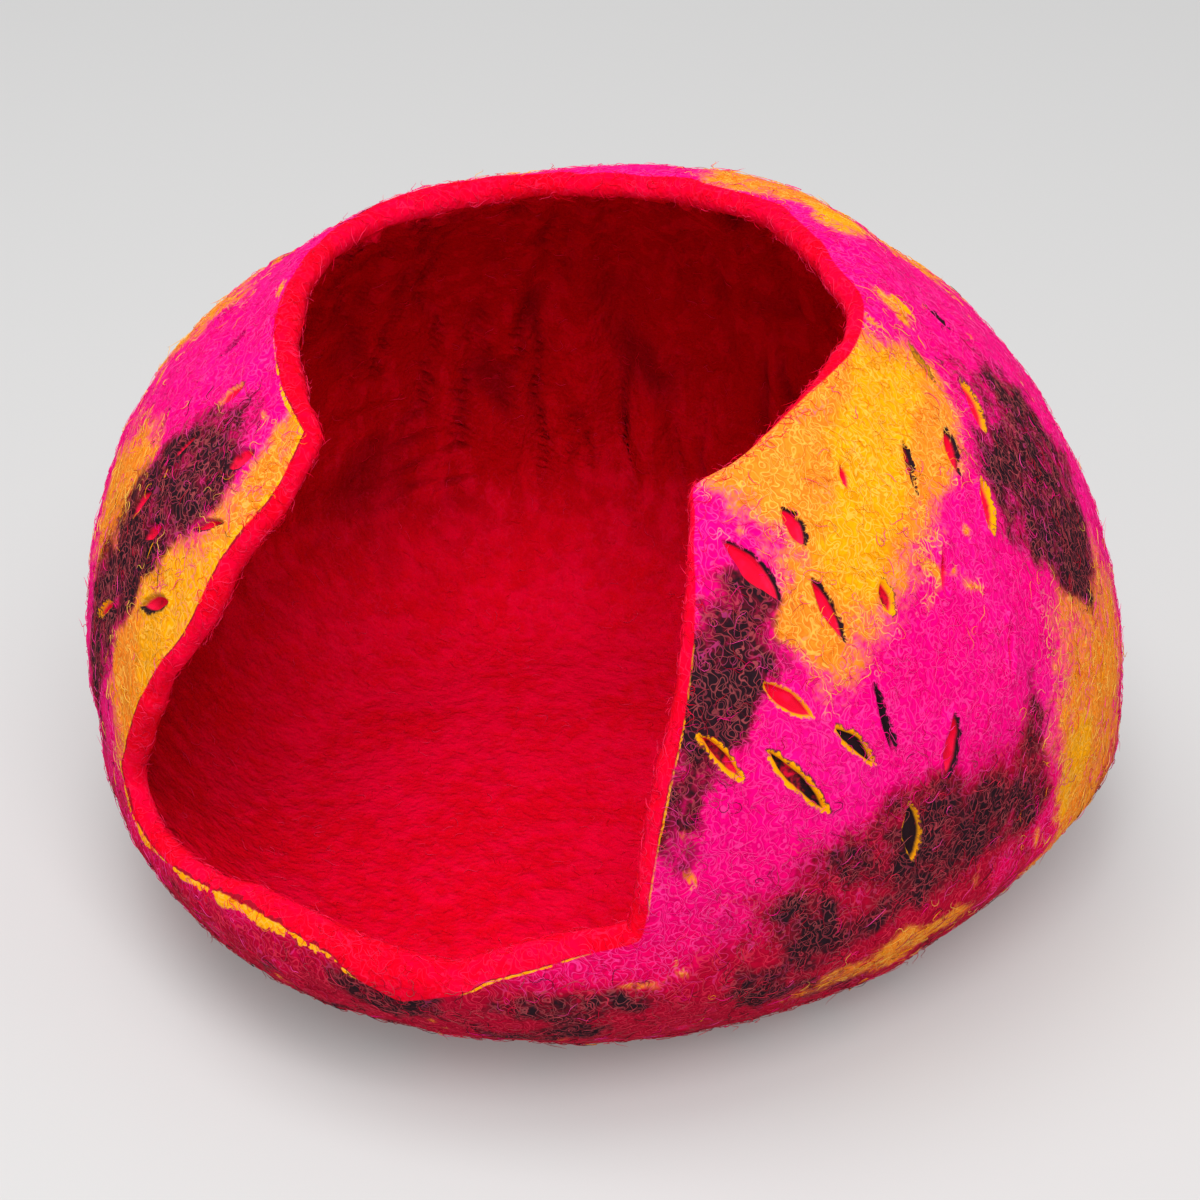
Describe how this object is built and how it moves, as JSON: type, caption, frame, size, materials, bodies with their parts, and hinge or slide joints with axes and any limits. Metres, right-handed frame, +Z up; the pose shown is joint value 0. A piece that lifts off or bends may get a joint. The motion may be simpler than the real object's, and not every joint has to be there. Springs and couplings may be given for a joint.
{
  "type": "felt cat cave",
  "caption": "Rounded wet-felted cave for a small pet, open at the front and crown through one keyhole mouth, with blind slashes in its outer layers.",
  "frame": {"origin": "middle of the bounding box, on the floor under the flat base", "axes": "+Z up, the mouth faces -Y, +X to the right as seen from the front"},
  "size_m": [0.4902, 0.4988, 0.3266],
  "materials": {
    "wool_felt": "matted wool, marbled hot pink, orange and charcoal outside, red inside and on the cut edge"
  },
  "bodies": {
    "root": {"felt_shell": "wool_felt"}
  },
  "joints": []
}
